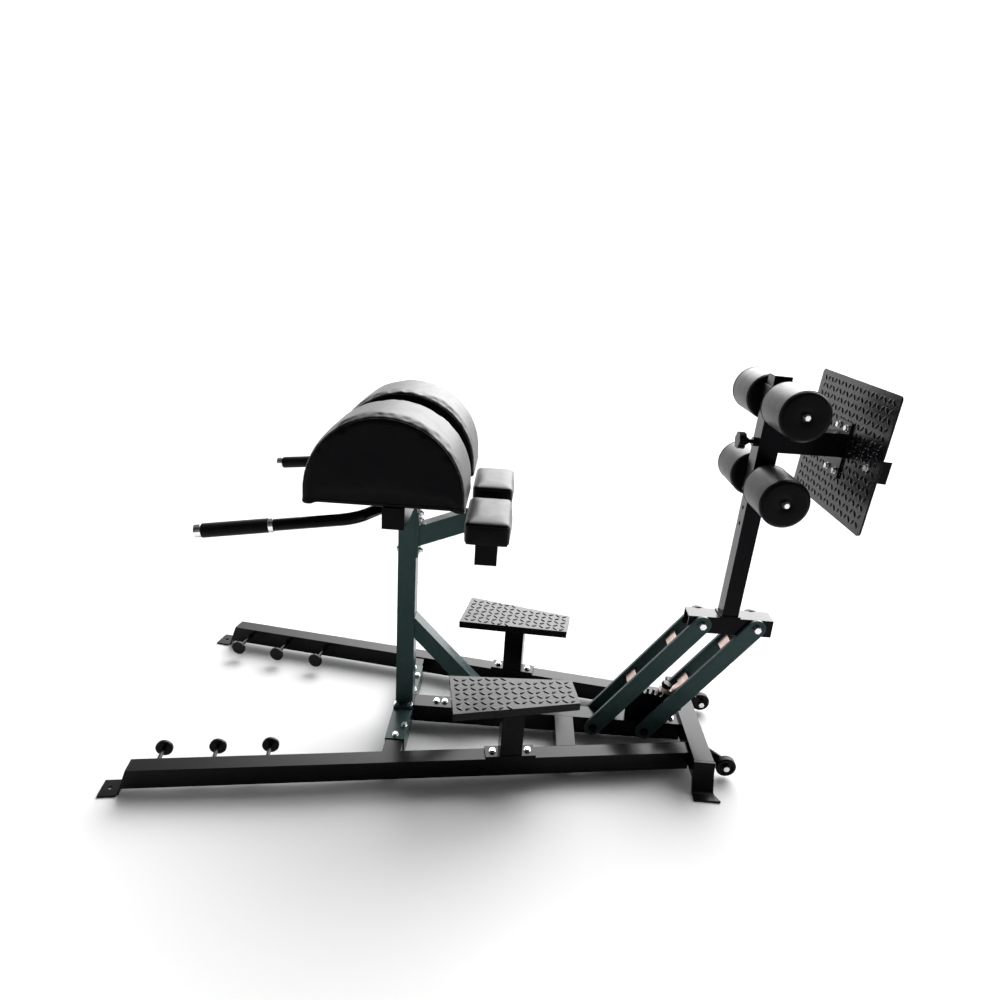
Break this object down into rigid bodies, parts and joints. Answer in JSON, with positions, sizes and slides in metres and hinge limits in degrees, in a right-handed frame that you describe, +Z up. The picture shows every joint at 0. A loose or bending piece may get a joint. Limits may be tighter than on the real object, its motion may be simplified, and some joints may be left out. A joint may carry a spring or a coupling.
{
  "type": "roman chair",
  "caption": "Glute-ham bench: V-shaped tube base, domed hip pads on a post, tread-plate steps, and an ankle roller and footplate station on swinging parallel links.",
  "frame": {"origin": "on the floor, under the middle of the machine's overall box", "axes": "+X towards the footplate end, -X towards the head end, +Y to the right side of a user lying face down with the head towards -X, +Z up"},
  "size_m": [2.0754, 0.8958, 1.2202],
  "materials": {
    "black_paint": "glossy powder coat",
    "green_paint": "glossy powder coat, very dark slate green",
    "vinyl": "black vinyl-coated cloth over foam",
    "roller_foam": "black vinyl-coated foam",
    "grip_rubber": "matt black rubber",
    "zinc": "bright zinc plate",
    "chrome": "bright chrome",
    "wheel_plastic": "black moulded plastic",
    "plywood": "plain plywood",
    "tread_plate": "bright tread plate",
    "bronze": "plain sintered bronze",
    "black_plastic": "black plastic, fine grain"
  },
  "bodies": {
    "base": {"rail_left": "black_paint", "rail_right": "black_paint", "front_feet": "black_paint", "rear_cross_tube": "black_paint", "rear_feet": "black_paint", "front_cross_tube": "green_paint", "frame_spigots": "black_paint", "centre_beam": "black_paint", "side_tubes": "black_paint", "main_post": "green_paint", "post_brace": "green_paint", "frame_bolts": "zinc", "step_posts": "black_paint", "step_plate_left": "tread_plate", "step_plate_right": "tread_plate", "band_pegs": "black_paint", "wheel_brackets": "black_paint", "wheel_axles": "zinc", "pad_tube": "black_paint", "tube_caps": "black_plastic", "hip_boards": "plywood", "hip_pad_left": "vinyl", "hip_pad_right": "vinyl", "handle_left": "black_paint", "handle_right": "black_paint", "grips": "grip_rubber", "grip_collars": "chrome", "thigh_arm": "green_paint", "thigh_tube": "black_paint", "thigh_boards": "plywood", "thigh_pad_left": "vinyl", "thigh_pad_right": "vinyl", "lock_sector": "black_paint", "lower_pivot_bolts": "zinc"},
    "front_link": {"front_link_arms": "green_paint", "front_link_spacers": "green_paint", "front_link_bushes": "bronze"},
    "rear_link": {"rear_link_arms": "green_paint", "rear_link_spacers": "green_paint", "rear_link_bushes": "bronze", "lock_barrel": "zinc"},
    "lock_plunger": {"lock_knob": "black_plastic"},
    "ankle_carriage": {"carriage": "black_paint", "upper_pivot_bolts": "zinc", "ankle_post": "black_paint", "post_cap": "black_plastic"},
    "ankle_head": {"ankle_sleeve": "black_paint", "roller_axles": "zinc", "roller_bolts": "zinc", "foot_arm": "black_paint", "foot_tube": "black_paint", "footplate": "tread_plate", "foot_bolts": "zinc"},
    "height_plunger": {"height_knob": "black_plastic"},
    "upper_roller_left": {"roller_upper_left": "roller_foam"},
    "upper_roller_right": {"roller_upper_right": "roller_foam"},
    "lower_roller_left": {"roller_lower_left": "roller_foam"},
    "lower_roller_right": {"roller_lower_right": "roller_foam"},
    "transport_wheel_left": {"wheel_left": "wheel_plastic"},
    "transport_wheel_right": {"wheel_right": "wheel_plastic"}
  },
  "joints": [
    {"name": "front_link_pivot", "type": "hinge", "parent": "base", "child": "front_link", "pos_m": [0.38, 0, 0.05], "axis": [0, 1, 0], "range_deg": [-32, 0]},
    {"name": "rear_link_pivot", "type": "hinge", "parent": "base", "child": "rear_link", "pos_m": [0.547, 0, 0.05], "axis": [0, 1, 0], "range_deg": [-32, 0]},
    {"name": "carriage_pivot", "type": "hinge", "parent": "front_link", "child": "ankle_carriage", "pos_m": [0.67692, 0, 0.4498], "axis": [0, 1, 0], "range_deg": [0, 32]},
    {"name": "ankle_height_slide", "type": "slide", "parent": "ankle_carriage", "child": "ankle_head", "axis": [0.0349, 0, 0.9994], "range_m": [-0.25, 0.05]},
    {"name": "height_plunger_pull", "type": "slide", "parent": "ankle_head", "child": "height_plunger", "axis": [-0.9994, 0, 0.0349], "range_m": [0, 0.008], "stiffness_N_per_m": 900, "springref_m": -0.01},
    {"name": "lock_plunger_pull", "type": "slide", "parent": "rear_link", "child": "lock_plunger", "axis": [0.3681, 0, 0.9298], "range_m": [0, 0.008], "stiffness_N_per_m": 900, "springref_m": -0.01},
    {"name": "upper_roller_left_spin", "type": "hinge", "parent": "ankle_head", "child": "upper_roller_left", "pos_m": [0.79037, -0.138, 1.14618], "axis": [0, 1, 0], "continuous": true},
    {"name": "upper_roller_right_spin", "type": "hinge", "parent": "ankle_head", "child": "upper_roller_right", "pos_m": [0.79037, 0.138, 1.14618], "axis": [0, 1, 0], "continuous": true},
    {"name": "lower_roller_left_spin", "type": "hinge", "parent": "ankle_head", "child": "lower_roller_left", "pos_m": [0.7822, -0.138, 0.91233], "axis": [0, 1, 0], "continuous": true},
    {"name": "lower_roller_right_spin", "type": "hinge", "parent": "ankle_head", "child": "lower_roller_right", "pos_m": [0.7822, 0.138, 0.91233], "axis": [0, 1, 0], "continuous": true},
    {"name": "transport_wheel_left_spin", "type": "hinge", "parent": "base", "child": "transport_wheel_left", "pos_m": [0.779, -0.169, 0.041], "axis": [0, 1, 0], "continuous": true},
    {"name": "transport_wheel_right_spin", "type": "hinge", "parent": "base", "child": "transport_wheel_right", "pos_m": [0.779, 0.169, 0.041], "axis": [0, 1, 0], "continuous": true}
  ],
  "couplings": [
    {"joint": "rear_link_pivot", "follows": "front_link_pivot", "ratio": 1},
    {"joint": "carriage_pivot", "follows": "front_link_pivot", "ratio": -1}
  ]
}
